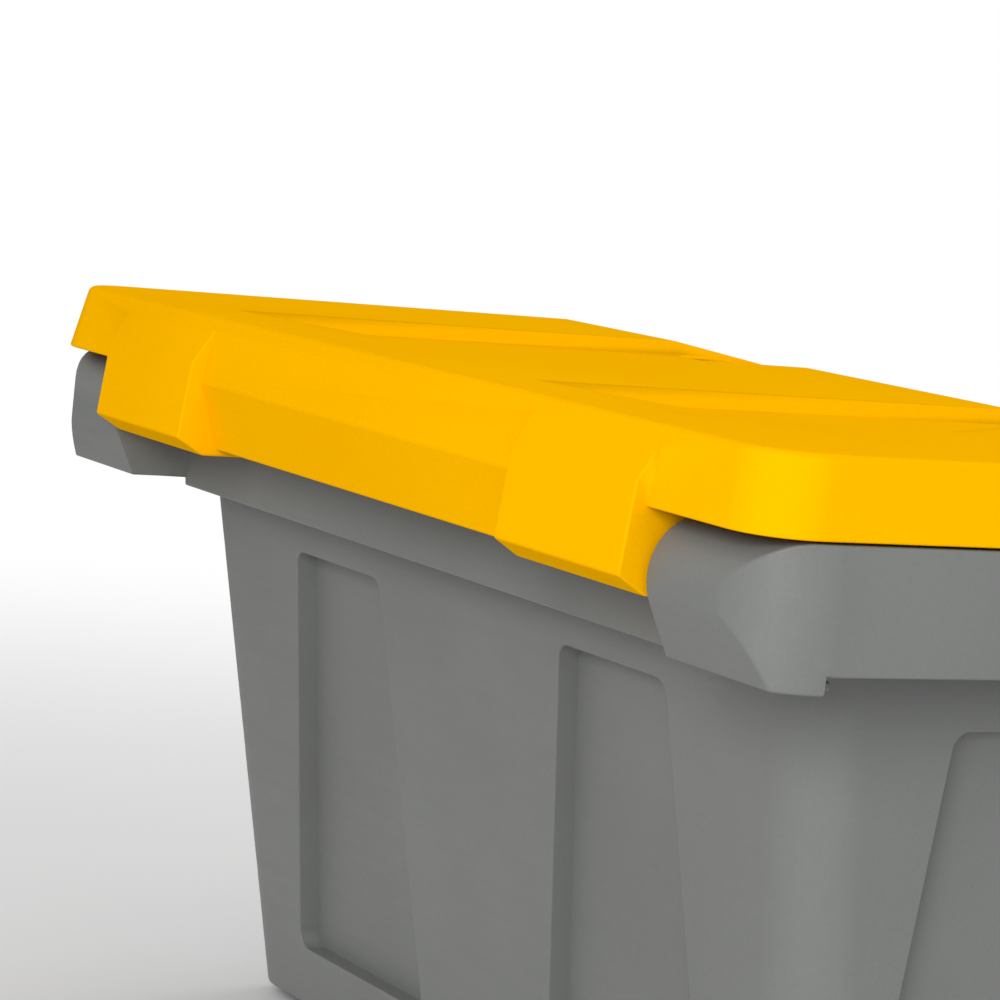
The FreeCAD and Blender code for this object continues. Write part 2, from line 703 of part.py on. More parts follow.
def make_seal():
    spread = (seal_width - wall) / 2
    outer = tub_outline_solid(-spread, tub_top, tub_top + seal_height)
    inner = tub_outline_solid(wall + spread, tub_top - past, tub_top + seal_height + past)
    return outer.cut(inner)


def make_latch(x):
    """A snap latch: an eye round its pin, a plate, a nose over the lid's catch and a thumb tab."""
    y = front - latch_axis_out
    z = rim_height - latch_axis_drop
    out = front - latch_proud
    inside = out + latch_wall
    nose_low = rim_height + catch_high + latch_gap
    nose_tip = front - catch_proud - latch_gap
    top = rim_height + latch_top
    side = [(out, z), (out, top - 2), (out + 1.5, top), (inside, top), (inside, nose_low + latch_nose),
            (nose_tip, nose_low + latch_nose - 0.6), (nose_tip, nose_low), (inside, nose_low), (inside, z)]
    plate = prism_x(side, x - latch_width / 2, x + latch_width / 2)
    plate = plate.fuse(rod(latch_eye, x - latch_width / 2, x + latch_width / 2, y, z))
    half = latch_width / 2 - grip_side
    grip = box(x - half, x + half, out - past, out + grip_depth, z + grip_low, z + grip_high)
    plate = plate.cut(grip)
    return plate.cut(rod(latch_pin_radius + pin_clearance, x - latch_width, x + latch_width, y, z))


def make_latch_pin(x):
    half = latch_width / 2 + latch_gap + latch_ear
    y = front - latch_axis_out
    z = rim_height - latch_axis_drop
    return rod(latch_pin_radius, x - half, x + half, y, z)


def foot_places():
    """The four feet, inset from the corners of the tub's base."""
    below = rim_height - base_z
    x = tub_half_length - draft_end * below - foot_inset
    y_front = front + tub_front_in + draft_front * below + foot_inset
    y_rear = rear - tub_rear_in - draft_rear * below - foot_inset
    return [(x, y_rear), (-x, y_rear), (-x, y_front), (x, y_front)]


def make_foot(x, y):
    pad = Part.makeCone(foot_radius - 1.5, foot_radius, foot_height, V(x, y, 0), V(0, 0, 1))
    spigot = Part.makeCylinder(foot_spigot_radius, foot_spigot - latch_gap, V(x, y, foot_height), V(0, 0, 1))
    return pad.fuse(spigot)


# ---------------------------------------------------------------- all nodes
os.makedirs("parts", exist_ok=True)
_, tray_half, _, _ = tray_solid(0, tray_bottom, tray_top)
nodes = {
    "body_shell": make_body(),
    "lid_shell": make_lid(),
    "lid_seal": make_seal(),
    "tray_shell": make_tray(),
    "tray_handle": make_tray_handle(),
    "tray_handle_screws": make_tray_screws(),
}
for i, x in enumerate(divider_places(tray_half)):
    nodes["tray_divider_%d" % (i + 1)] = make_divider(x)
for name, side in (("left", -1), ("right", 1)):
    nodes["hinge_pin_" + name] = make_hinge_pin(side)
    nodes["hinge_clip_" + name] = make_hinge_clip(side)
    nodes["latch_" + name] = make_latch(side * latch_middle)
    nodes["latch_pin_" + name] = make_latch_pin(side * latch_middle)
for name, place in zip(("rear_right", "rear_left", "front_left", "front_right"), foot_places()):
    nodes["foot_" + name] = make_foot(*place)

for name, shape in nodes.items():
    shape.exportStep("parts/%s.step" % name)
    b = shape.optimalBoundingBox(True, False)
    print("%-20s solids %d valid %s volume %9.0f  x %7.1f..%7.1f y %7.1f..%7.1f z %6.1f..%6.1f"
          % (name, len(shape.Solids), shape.isValid(), shape.Volume,
             b.XMin, b.XMax, b.YMin, b.YMax, b.ZMin, b.ZMax))
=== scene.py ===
# %% [markdown]
# # A storage toolbox with a hinged lid and a lift-out tray
# The box is a grey plastic tub with a wide collar, a yellow lid that turns on two broad
# knuckles at the back, two black snap latches at the front and a black tray inside.
# The measured model comes first: every piece made here is placed from it, so nothing has
# to be fitted by eye. The origin is on the floor under the middle of the box, +Z is up,
# the hinges are on the +Y side and the latches on the -Y side. All lengths are metres.

# %% Load the measured model
import json
import math
import bpy
import bmesh
import numpy as np
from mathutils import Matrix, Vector


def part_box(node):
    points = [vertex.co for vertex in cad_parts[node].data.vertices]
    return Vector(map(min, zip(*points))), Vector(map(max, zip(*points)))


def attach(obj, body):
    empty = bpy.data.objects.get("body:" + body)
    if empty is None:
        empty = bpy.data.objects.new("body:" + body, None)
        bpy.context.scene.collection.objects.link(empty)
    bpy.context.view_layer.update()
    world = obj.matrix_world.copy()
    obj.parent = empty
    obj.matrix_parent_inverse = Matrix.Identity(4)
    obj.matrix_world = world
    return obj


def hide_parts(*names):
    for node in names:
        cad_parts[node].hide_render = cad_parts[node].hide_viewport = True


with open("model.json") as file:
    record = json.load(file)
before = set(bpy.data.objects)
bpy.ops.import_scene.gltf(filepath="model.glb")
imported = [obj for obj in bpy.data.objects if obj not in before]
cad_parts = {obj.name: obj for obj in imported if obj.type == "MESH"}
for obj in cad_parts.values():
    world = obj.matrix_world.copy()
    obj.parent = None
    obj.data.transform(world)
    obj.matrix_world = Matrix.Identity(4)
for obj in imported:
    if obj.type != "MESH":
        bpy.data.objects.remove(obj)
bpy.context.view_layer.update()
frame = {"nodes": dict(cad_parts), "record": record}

mm = 0.001
nodes = frame["nodes"]


# %% [markdown]
# ## Moulded plastic
# The tub and the lid are injection moulded polypropylene. The mould is spark eroded, so the
# surface has a very fine grain that breaks up the highlights, and the melt leaves slow
# changes of tone and gloss. Use adds faint rubbed streaks. One could paint these in an
# image, but a few noise textures in object coordinates need no unwrapping and keep their
# real size on every piece, so that is the way taken here.

# %% A helper that adds a node and links its inputs
def add_node(tree, kind, **inputs):
    """A new shader node; a socket in inputs is linked, any other value is set."""
    node = tree.nodes.new(kind)
    for name, value in inputs.items():
        socket = node.inputs[name.replace("_", " ")]
        if isinstance(value, bpy.types.NodeSocket):
            tree.links.new(value, socket)
        else:
            socket.default_value = value
    return node


def new_material(name, roughness, metallic=0.0):
    """A material with its Principled shader and the object coordinates that patterns use."""
    material = bpy.data.materials.new(name)
    material.use_nodes = True
    tree = material.node_tree
    shader = tree.nodes["Principled BSDF"]
    shader.inputs["Roughness"].default_value = roughness
    shader.inputs["Metallic"].default_value = metallic
    place = tree.nodes.new("ShaderNodeTexCoord").outputs["Object"]
    return material, tree, shader, place


def ramp(tree, factor, stops):
    """A colour ramp with the given (position, colour) stops."""
    node = add_node(tree, "ShaderNodeValToRGB", Fac=factor)
    first, last = node.color_ramp.elements[0], node.color_ramp.elements[1]
    for element, (position, colour) in zip((first, last), (stops[0], stops[-1])):
        element.position = position
        element.color = (*colour, 1.0)
    for position, colour in stops[1:-1]:
        node.color_ramp.elements.new(position).color = (*colour, 1.0)
    return node.outputs["Color"]


# %% The plastic itself
def moulded_plastic(name, colour, roughness, grain, grain_depth, streak=0.10, variation=0.05,
                    shine=0.42):
    """Moulded plastic: slow tone changes, rubbed streaks in the gloss and a fine eroded grain."""
    material, tree, shader, place = new_material(name, roughness)
    shader.inputs["Specular IOR Level"].default_value = shine
    # slow changes of tone, as the melt leaves them
    cloud = add_node(tree, "ShaderNodeTexNoise", Vector=place, Scale=7.0, Detail=3.0, Roughness=0.55)
    light = tuple(min(1.0, c * (1 + variation)) for c in colour)
    dark = tuple(c * (1 - variation) for c in colour)
    tone = ramp(tree, cloud.outputs["Fac"], [(0.32, dark), (0.68, light)])
    # a grain of shallow pits, some of them a touch darker
    pits = add_node(tree, "ShaderNodeTexVoronoi", Vector=place, Scale=grain)
    speck = add_node(tree, "ShaderNodeTexNoise", Vector=place, Scale=grain * 0.45, Detail=2.0)
    shade = ramp(tree, speck.outputs["Fac"], [(0.30, (0.965,) * 3), (0.62, (1.0,) * 3)])
    mix = add_node(tree, "ShaderNodeMixRGB", Fac=1.0, Color1=tone, Color2=shade)
    mix.blend_type = "MULTIPLY"
    tree.links.new(mix.outputs["Color"], shader.inputs["Base Color"])
    # rubbed streaks: noise drawn out along the length of the box
    stretch = add_node(tree, "ShaderNodeMapping", Vector=place, Scale=(22.0, 160.0, 190.0))
    rub = add_node(tree, "ShaderNodeTexNoise", Vector=stretch.outputs["Vector"], Scale=1.0, Detail=4.0,
                   Roughness=0.62)
    gloss = add_node(tree, "ShaderNodeMapRange", Value=rub.outputs["Fac"])
    gloss.inputs["From Min"].default_value = 0.30
    gloss.inputs["From Max"].default_value = 0.72
    gloss.inputs["To Min"].default_value = roughness - streak / 2
    gloss.inputs["To Max"].default_value = roughness + streak / 2
    tree.links.new(gloss.outputs["Result"], shader.inputs["Roughness"])
    # the grain as relief, on a still slower waviness of the moulded skin
    wave = add_node(tree, "ShaderNodeTexNoise", Vector=place, Scale=14.0, Detail=1.0)
    skin = add_node(tree, "ShaderNodeBump", Height=wave.outputs["Fac"], Strength=0.25, Distance=0.0006)
    relief = add_node(tree, "ShaderNodeBump", Height=pits.outputs["Distance"], Strength=grain_depth,
                      Distance=0.00012, Normal=skin.outputs["Normal"])
    tree.links.new(relief.outputs["Normal"], shader.inputs["Normal"])
    return material


body_plastic = moulded_plastic("grey_body_plastic", (0.186, 0.193, 0.186), 0.46, 1300.0, 0.35,
                               shine=0.32)
lid_plastic = moulded_plastic("yellow_lid_plastic", (1.0, 0.478, 0.0), 0.40, 1500.0, 0.22,
                              variation=0.02, shine=0.0)
tray_plastic = moulded_plastic("black_tray_plastic", (0.040, 0.042, 0.045), 0.52, 900.0, 0.60,
                               variation=0.12)
latch_plastic = moulded_plastic("black_latch_plastic", (0.026, 0.027, 0.029), 0.38, 1400.0, 0.30,
                                variation=0.10)
print("plastics", body_plastic.name, lid_plastic.name, tray_plastic.name, latch_plastic.name)


# %% [markdown]
# ## Steel and rubber
# Pins, clips and screws are zinc plated steel: bright, with fine turning marks and a faint
# cloudy bloom. The seal and the feet are matt black rubber with a dusty tooth. Steel could be
# one metallic colour, but plated parts look made only when the gloss changes over them.

# %% Steel and rubber
def plated_steel(name, turned_about):
    """Zinc plated steel, with marks that run round the given axis (0 for X, 2 for Z)."""
    material, tree, shader, place = new_material(name, 0.30, metallic=1.0)
    bloom = add_node(tree, "ShaderNodeTexNoise", Vector=place, Scale=160.0, Detail=4.0, Roughness=0.6)
    tint = ramp(tree, bloom.outputs["Fac"],
                [(0.30, (0.50, 0.51, 0.53)), (0.55, (0.62, 0.62, 0.62)), (0.75, (0.70, 0.69, 0.66))])
    tree.links.new(tint, shader.inputs["Base Color"])
    fine = [30.0, 30.0, 30.0]
    fine[turned_about] = 2600.0
    marks = add_node(tree, "ShaderNodeMapping", Vector=place, Scale=tuple(fine))
    lines = add_node(tree, "ShaderNodeTexNoise", Vector=marks.outputs["Vector"], Scale=1.0, Detail=3.0)
    gloss = add_node(tree, "ShaderNodeMapRange", Value=lines.outputs["Fac"])
    gloss.inputs["To Min"].default_value = 0.20
    gloss.inputs["To Max"].default_value = 0.44
    tree.links.new(gloss.outputs["Result"], shader.inputs["Roughness"])
    relief = add_node(tree, "ShaderNodeBump", Height=lines.outputs["Fac"], Strength=0.3, Distance=0.00004)
    tree.links.new(relief.outputs["Normal"], shader.inputs["Normal"])
    return material


def matt_rubber(name):
    """Black rubber with a fine tooth and a little dust in it."""
    material, tree, shader, place = new_material(name, 0.78)
    dust = add_node(tree, "ShaderNodeTexNoise", Vector=place, Scale=90.0, Detail=6.0, Roughness=0.7)
    tint = ramp(tree, dust.outputs["Fac"], [(0.40, (0.018, 0.018, 0.019)), (0.74, (0.050, 0.049, 0.047))])
    tree.links.new(tint, shader.inputs["Base Color"])
    tooth = add_node(tree, "ShaderNodeTexNoise", Vector=place, Scale=1800.0, Detail=2.0)
    relief = add_node(tree, "ShaderNodeBump", Height=tooth.outputs["Fac"], Strength=0.5, Distance=0.0001)
    tree.links.new(relief.outputs["Normal"], shader.inputs["Normal"])
    return material


pin_steel = plated_steel("plated_pin_steel", 0)
screw_steel = plated_steel("plated_screw_steel", 2)
rubber = matt_rubber("black_rubber")
print("metals and rubber", pin_steel.name, screw_steel.name, rubber.name)


# %% [markdown]
# ## Edges of the big mouldings
# No moulded edge is sharp: the mould maker breaks each one by about a millimetre, and that
# thin round is what catches the light. The shells already have their right shape in the
# measured model, so the quickest true way is to take a copy, merge it, dissolve its flat
# faces into single ones and let a Bevel modifier round the outward edges. Inward corners
# stay crisp, as they are where two faces of a mould meet.

# %% A copy with rounded edges
edge_angle = math.radians(26)
flat_angle = math.radians(1.0)


def finish_piece(piece, body, material, replaced):
    """Gives a finished piece its material, its body and the nodes it stands for."""
    piece.data.materials.clear()
    piece.data.materials.append(material)
    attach(piece, body)
    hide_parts(*replaced)
    return piece


def mesh_object(name, mesh):
    """A new object in the scene, at the origin, that shows the mesh."""
    piece = bpy.data.objects.new(name, mesh)
    bpy.context.scene.collection.objects.link(piece)
    return piece


merge_reach = 0.45 * mm


def rounded_copy(node, name, width, close=None, leave=None):
    """A merged copy of a node whose outward edges are rounded. close picks corners to join and
    leave picks the places that are round already, each by its point."""
    mesh = nodes[node].data.copy()
    work = bmesh.new()
    work.from_mesh(mesh)
    bmesh.ops.remove_doubles(work, verts=work.verts, dist=1e-6)
    if close:
        picked = [v for v in work.verts if close(v.co)]
        bmesh.ops.remove_doubles(work, verts=picked, dist=merge_reach)
    bmesh.ops.dissolve_degenerate(work, dist=1e-6, edges=work.edges)
    bmesh.ops.dissolve_limit(work, angle_limit=flat_angle, verts=work.verts, edges=work.edges)
    weight = work.edges.layers.float.new("bevel_weight_edge")
    for edge in work.edges:
        bent = len(edge.link_faces) == 2 and edge.calc_face_angle() > edge_angle
        done = leave is not None and leave((edge.verts[0].co + edge.verts[1].co) / 2)
        edge[weight] = 1.0 if bent and edge.is_convex and not done else 0.0
        edge.smooth = not bent or edge.is_convex
    for face in work.faces:
        face.smooth = True
    work.to_mesh(mesh)
    work.free()
    piece = mesh_object(name, mesh)
    bevel = piece.modifiers.new("rounded_edges", "BEVEL")
    bevel.limit_method = "WEIGHT"
    bevel.width = width
    bevel.segments = 2
    bevel.use_clamp_overlap = False
    normals = piece.modifiers.new("flat_faces_stay_flat", "WEIGHTED_NORMAL")
    normals.keep_sharp = True
    print(name, "faces", len(mesh.polygons))
    return piece


# %% [markdown]
# ## The tub and the lid
# Both are single mouldings on the real box, so both stay single pieces. The lid's skirt and
# the apron below it meet in a fold that has no step, so the corners along it are joined.

# %% Tub and lid
hinge_below_lid = 23.8 * mm
lid_low = frame["record"]["behaviour"]["joints"][0]["pos_m"][2] + hinge_below_lid
rear_edge, apron_half = 185 * mm, 142 * mm
top_round_low, top_round_end, top_round_rear = 325.4 * mm, 289 * mm, 174 * mm
catch_middle, catch_reach, catch_front, catch_top = 150 * mm, 21 * mm, -183 * mm, 309.5 * mm


def on_the_fold(point):
    """True for the corners on the fold between the lid's skirt and its apron."""
    near_rear = point.y > rear_edge - 2 * mm
    return abs(point.z - lid_low) < 0.5 * mm and near_rear and abs(point.x) < apron_half


def keeps_its_edge(point):
    """True on the 3.5 mm round between the lid's skirt and its top, which needs no other, and
    on the two small catches, whose crisp hooks the latches hold."""
    at_rim = abs(point.x) > top_round_end or point.y > top_round_rear
    beside = abs(abs(point.x) - catch_middle) < catch_reach
    catch = beside and point.y < catch_front and point.z < catch_top
    return point.z > top_round_low and at_rim or catch


tub = rounded_copy("body_shell", "tub", 1.0 * mm)
finish_piece(tub, "body", body_plastic, ["body_shell"])
lid = rounded_copy("lid_shell", "lid", 1.0 * mm, close=on_the_fold, leave=keeps_its_edge)
finish_piece(lid, "lid", lid_plastic, ["lid_shell"])

# %% [markdown]
# ## The tray and its dividers
# The tray is thin walled, so its edges are broken by less. The dividers are flat plates
# that stand between rails, made in the same way.

# %% Tray and dividers
tray = rounded_copy("tray_shell", "tray", 0.5 * mm)
finish_piece(tray, "tray", tray_plastic, ["tray_shell"])
for number in (1, 2):
    node = "tray_divider_%d" % number
    divider = rounded_copy(node, "divider_%d" % number, 0.5 * mm)
    finish_piece(divider, "tray", tray_plastic, [node])


# %% [markdown]
# ## Surfaces worked out as arrays
# The small parts are turned, swept or pressed shapes. Each is a grid of points, n stations
# by m points round, worked out with numpy in one go. One function turns such a grid into a
# mesh: it numbers the four corners of every cell at once and closes the ends with a fan.

# %% From a grid of points to a mesh
def grid_mesh(name, points, loop=False, ends=True):
    """points[i, j] is point j of station i; each station is a closed ring. loop joins the last
    station to the first; ends closes the two end rings with a fan to their middle."""
    n, m = points.shape[:2]
    co = points.reshape(-1, 3)
    i = np.arange(n if loop else n - 1)[:, None]
    j = np.arange(m)[None, :]
    a = i * m + j
    b = i * m + (j + 1) % m
    c = ((i + 1) % n) * m + (j + 1) % m
    d = ((i + 1) % n) * m + j
    quads = np.stack([a, b, c, d], axis=-1).reshape(-1, 4)
    faces = quads.tolist()
    if ends and not loop:
        co = np.vstack([co, points[0].mean(axis=0), points[-1].mean(axis=0)])
        k = np.arange(m)
        first = np.stack([(k + 1) % m, k, np.full(m, n * m)], axis=-1)
        last_ring = (n - 1) * m
        last = np.stack([last_ring + k, last_ring + (k + 1) % m, np.full(m, n * m + 1)], axis=-1)
        faces += first.tolist() + last.tolist()
    mesh = bpy.data.meshes.new(name)
    mesh.from_pydata(co.tolist(), [], faces)
    work = bmesh.new()
    work.from_mesh(mesh)
    bmesh.ops.remove_doubles(work, verts=work.verts, dist=1e-7)
    bmesh.ops.recalc_face_normals(work, faces=work.faces)
    work.to_mesh(mesh)
    work.free()
    mesh.polygons.foreach_set("use_smooth", np.ones(len(mesh.polygons), bool))
    mesh.set_sharp_from_angle(angle=math.radians(38))
    mesh.update()
    return mesh


def turned(name, profile, start, along, around, steps=64):
    """A turned part: each (distance, radius) of the profile is a ring about the line from start
    along one axis: start + distance * along + radius * (cos t * around[0] + sin t * around[1])."""
    distance, radius = np.array(profile, float).T
    t = np.linspace(0, 2 * np.pi, steps, endpoint=False)
    ring = np.cos(t)[:, None] * np.array(around[0]) + np.sin(t)[:, None] * np.array(around[1])
    points = (np.array(start) + distance[:, None, None] * np.array(along)
              + radius[:, None, None] * ring[None])
    return grid_mesh(name, points)


x_axis, y_axis, z_axis = (1.0, 0, 0), (0, 1.0, 0), (0, 0, 1.0)


# %% [markdown]
# ## Hinge pins, clips and latch pins
# A pin is turned from rod: a low domed head, a straight shank and a chamfered end. The clip
# is a pressed ring with three inner claws that bite the shank, so its inner edge waves in
# and out with the angle while the outer edge stays round.

# %% Pins
def rod_profile(length, radius, chamfer):
    """Distance and radius along a rod with a chamfer at each end."""
    return [(0, 0), (0, radius - chamfer), (chamfer, radius), (length / 2, radius),
            (length - chamfer, radius), (length, radius - chamfer), (length, 0)]


for side, name in ((-1, "left"), (1, "right")):
    node = "hinge_pin_" + name
    low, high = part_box(node)
    middle = (low + high) / 2
    outer = low.x if side < 0 else high.x
    inner = high.x if side < 0 else low.x
    length = abs(outer - inner)
    head, rod_radius, head_radius = 1.8 * mm, 3.0 * mm, 4.6 * mm
    tip = 0.8 * mm
    profile = [(0, 0), (0, head_radius * 0.45), (0.35 * mm, head_radius * 0.80),
               (0.9 * mm, head_radius * 0.97), (1.3 * mm, head_radius),
               (head, head_radius - 0.2 * mm), (head, rod_radius),
               (length - tip, rod_radius), (length, rod_radius - tip), (length, 0)]
    mesh = turned(node, profile, (inner, middle.y, middle.z), (side, 0, 0), (y_axis, z_axis))
    finish_piece(mesh_object("pin_" + name, mesh), "body", pin_steel, [node])

    node = "latch_pin_" + name
    low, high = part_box(node)
    middle = (low + high) / 2
    profile = rod_profile(high.x - low.x, 2.0 * mm, 0.4 * mm)
    mesh = turned(node, profile, (low.x, middle.y, middle.z), x_axis, (y_axis, z_axis), steps=40)
    finish_piece(mesh_object("latch_rod_" + name, mesh), "body", pin_steel, [node])
print("hinge pins", round(length * 1000, 1), "mm")

# %% Clips
claws = 3
for name in ("left", "right"):
    node = "hinge_clip_" + name
    low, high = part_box(node)
    middle = (low + high) / 2
    t = np.linspace(0, 2 * np.pi, 96, endpoint=False)[:, None]
    u = np.linspace(0, 2 * np.pi, 12, endpoint=False)[None, :]
    # the section is a flat oval between an outer radius and a waving inner radius
    outer_radius = (high.y - low.y) / 2
    inner_radius = 3.05 * mm + 0.8 * mm * (0.5 - 0.5 * np.cos(claws * t)) ** 0.5
    half_width = (outer_radius - inner_radius) / 2
    flat = np.sign(np.cos(u)) * np.abs(np.cos(u)) ** 0.6
    thick = np.sign(np.sin(u)) * np.abs(np.sin(u)) ** 0.6
    r = inner_radius + half_width + half_width * flat
    x = middle.x + (high.x - low.x) / 2 * thick + 0 * t
    points = np.stack([x, middle.y + r * np.cos(t), middle.z + r * np.sin(t)], axis=-1)
    mesh = grid_mesh(node, points, loop=True)
    finish_piece(mesh_object("clip_" + name, mesh), "body", pin_steel, [node])
print("clip inner radius", round(float(inner_radius.min()) * 1000, 2), "mm")


# %% [markdown]
# ## Feet
# Each foot is a rubber button with a round edge and two shallow rings moulded in its
# underside, and a spigot that is pressed into the tub's base. All of it is one profile
# turned about the upright through the foot's middle.

# %% Feet
for name in ("rear_right", "rear_left", "front_left", "front_right"):
    node = "foot_" + name
    low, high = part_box(node)
    middle = (low + high) / 2
    r = (high.x - low.x) / 2
    base = 6.0 * mm
    ring = [(0.0, 0), (0.0, r * 0.28), (0.7 * mm, r * 0.32), (0.7 * mm, r * 0.42), (0.0, r * 0.46),
            (0.0, r * 0.60), (0.7 * mm, r * 0.64), (0.7 * mm, r * 0.72), (0.0, r * 0.76), (0.0, r * 0.86)]
    arc = np.linspace(0, np.pi / 2, 6)
    edge = 1.6 * mm
    ring += [(edge - edge * math.cos(a), r * 0.94 - edge + edge * math.sin(a)) for a in arc]
    ring += [(base - 0.6 * mm, r - 0.2 * mm), (base, r - 0.8 * mm), (base, 5.0 * mm),
             (high.z - 0.3 * mm, 5.0 * mm), (high.z, 4.7 * mm), (high.z, 0)]
    mesh = turned(node, ring, (middle.x, middle.y, 0), z_axis, (x_axis, y_axis), steps=72)
    finish_piece(mesh_object("rubber_" + node, mesh), "body", rubber, [node])
print("foot radius", round(r * 1000, 2), "mm")


# %% [markdown]
# ## The lid seal
# The seal is a rubber bulb pressed on the tub's lip. It runs round the whole rim in one
# closed loop, so it is a section carried along a rounded rectangle. The section is a half
# round bulb on a flat foot: its height is the square root of 1 - |way across|^2.6.

# %% Seal
def rounded_path(x_half, y_low, y_high, radius, per_corner=14):
    """Points and outward directions round a level rounded rectangle, counter-clockwise."""
    centres = [(x_half - radius, y_high - radius, 0), (-x_half + radius, y_high - radius, 90),
               (-x_half + radius, y_low + radius, 180), (x_half - radius, y_low + radius, 270)]
    angles = np.radians(np.concatenate([a + np.linspace(0, 90, per_corner) for _, _, a in centres]))
    middles = np.repeat(np.array([(x, y) for x, y, _ in centres]), per_corner, axis=0)
    out = np.stack([np.cos(angles), np.sin(angles)], axis=-1)
    return middles + radius * out, out


low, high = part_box("lid_seal")
width, corner = 5.0 * mm, 24.5 * mm
path, out = rounded_path(high.x - width / 2, low.y + width / 2, high.y - width / 2, corner)
across = np.linspace(-1, 1, 15)
bulb = (high.z - low.z) * np.sqrt(1 - np.abs(across) ** 2.6)
upper = np.stack([across * width / 2, low.z + bulb], axis=-1)
lower = np.stack([across[-2:0:-1] * width / 2, np.full(13, low.z)], axis=-1)
section = np.vstack([upper, lower])
points = np.empty((len(path), len(section), 3))
points[..., :2] = path[:, None, :] + out[:, None, :] * section[None, :, :1]
points[..., 2] = section[None, :, 1]
seal = mesh_object("seal", grid_mesh("seal", points, loop=True))
finish_piece(seal, "body", rubber, ["lid_seal"])
print("seal length", round(float(np.linalg.norm(np.diff(path, axis=0), axis=1).sum()), 3), "m")


# %% [markdown]
# ## The tray's handle
# One bent bar: up from the tray, round a bend, across and down again. The line it follows
# is a straight, a quarter circle, a straight, a quarter circle and a straight. The section
# is a super-ellipse, |a|^p + |b|^p = 1, squarish in the legs (p = 5) and round in the grip
# (p = 2), with the change spread over the bends. Shallow finger grooves run round the grip.

# %% Handle
low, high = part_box("tray_handle")
middle = (low + high) / 2
grip_radius = 7.5 * mm
leg_at = 63.0 * mm
bend = 9.0 * mm
grip_z = high.z - grip_radius
foot_z = low.z

s = np.linspace(0, 1, 241)
leg_run = grip_z - bend - foot_z
top_run = 2 * (leg_at - bend)
arc_run = bend * np.pi / 2
total = 2 * leg_run + 2 * arc_run + top_run
d = s * total
half = np.minimum(d, total - d)
side = np.where(d < total / 2, -1.0, 1.0)
turn = np.clip((half - leg_run) / arc_run, 0, 1) * np.pi / 2
x_line = side * (leg_at - bend + bend * np.cos(turn) - np.clip(half - leg_run - arc_run, 0, None))
z_line = foot_z + np.minimum(half, leg_run) + bend * np.sin(turn)
# direction across the bar in the plane of the bend, and how far the section has changed
normal = np.stack([side * np.cos(turn), 0 * turn, np.sin(turn)], axis=-1)
change = turn / (np.pi / 2)
grooves = 0.35 * mm * (0.5 - 0.5 * np.cos(x_line / (9.0 * mm) * 2 * np.pi)) * (np.abs(x_line) < 45 * mm)
half_a = 7.0 * mm + (grip_radius - 7.0 * mm) * change - grooves
half_b = 6.0 * mm + (grip_radius - 6.0 * mm) * change - grooves
power = 5.0 - 3.0 * change
t = np.linspace(0, 2 * np.pi, 40, endpoint=False)[None, :]
bulge = 2.0 / power[:, None]
a = np.sign(np.cos(t)) * np.abs(np.cos(t)) ** bulge * half_a[:, None]
b = np.sign(np.sin(t)) * np.abs(np.sin(t)) ** bulge * half_b[:, None]
points = (np.stack([x_line, np.full_like(s, middle.y), z_line], axis=-1)[:, None, :]
          + a[..., None] * normal[:, None, :] + b[..., None] * np.array([0.0, 1.0, 0.0]))
handle = mesh_object("handle", grid_mesh("handle", points))
finish_piece(handle, "tray", lid_plastic, ["tray_handle"])
print("handle line", round(float(total), 4), "m")


# %% [markdown]
# ## The handle's screws
# Two pan head screws are driven up from under the tray. The head's face is a height over
# radius and angle: a low dome, less a cross-shaped recess. The recess is deepest in the
# middle and each arm is |smaller of x, y| under half the arm's width.

# %% Screws
low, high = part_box("tray_handle_screws")
head_radius, head_height, shank_radius, tip_radius = 3.6 * mm, 3.0 * mm, 1.95 * mm, 0.4 * mm
thread_deep, thread_pitch = 0.28 * mm, 1.4 * mm
y = (low.y + high.y) / 2
parts = []
rings = np.concatenate([np.linspace(0.02, 0.86, 16), np.linspace(0.90, 1.0, 4)]) * head_radius
t = np.linspace(0, 2 * np.pi, 64, endpoint=False)
for x in (low.x + head_radius, high.x - head_radius):
    rx, ry = rings[:, None] * np.cos(t), rings[:, None] * np.sin(t)
    narrow = np.minimum(np.abs(rx), np.abs(ry))
    wide = np.maximum(np.abs(rx), np.abs(ry))
    arm = 1 / (1 + np.exp((narrow - 0.45 * mm) / (0.06 * mm)))
    reach = 1 / (1 + np.exp((wide - 2.1 * mm) / (0.12 * mm)))
    dome = 0.9 * mm * (rings[:, None] / head_radius) ** 3
    face = low.z + dome + 1.5 * mm * arm * reach * (1 - wide / (2.6 * mm)).clip(0, 1)
    top = np.stack([x + rx, y + ry, face], axis=-1)
    thread = np.arange(low.z + head_height, high.z - 1.5 * mm, 0.25 * mm)
    wave = thread_deep * np.cos((thread[:, None] / thread_pitch) * 2 * np.pi - t[None, :])
    r_shank = shank_radius - thread_deep + wave
    shank = np.stack([x + r_shank * np.cos(t), y + r_shank * np.sin(t), thread[:, None] + 0 * t],
                     axis=-1)
    under = np.stack([x + head_radius * np.cos(t), y + head_radius * np.sin(t),
                      np.full_like(t, low.z + head_height)], axis=-1)[None]
    point = np.stack([x + tip_radius * np.cos(t), y + tip_radius * np.sin(t),
                      np.full_like(t, high.z)], axis=-1)[None]
    parts.append(grid_mesh("screw", np.concatenate([top, under, shank, point])))
screws = mesh_object("screws", parts[0])
joined = bmesh.new()
for part in parts:
    joined.from_mesh(part)
joined.to_mesh(screws.data)
joined.free()
finish_piece(screws, "tray", screw_steel, ["tray_handle_screws"])
print("screws", len(screws.data.polygons), "faces")


# %% [markdown]
# ## The latches
# A latch is a black plate on its pin, with a hooked nose at the top. The plate keeps its
# measured shape with rounded edges. In its thumb grip stand five ribs, worked out as one
# relief: the height across the ribs is a row of squared sine waves, faded at both ends.

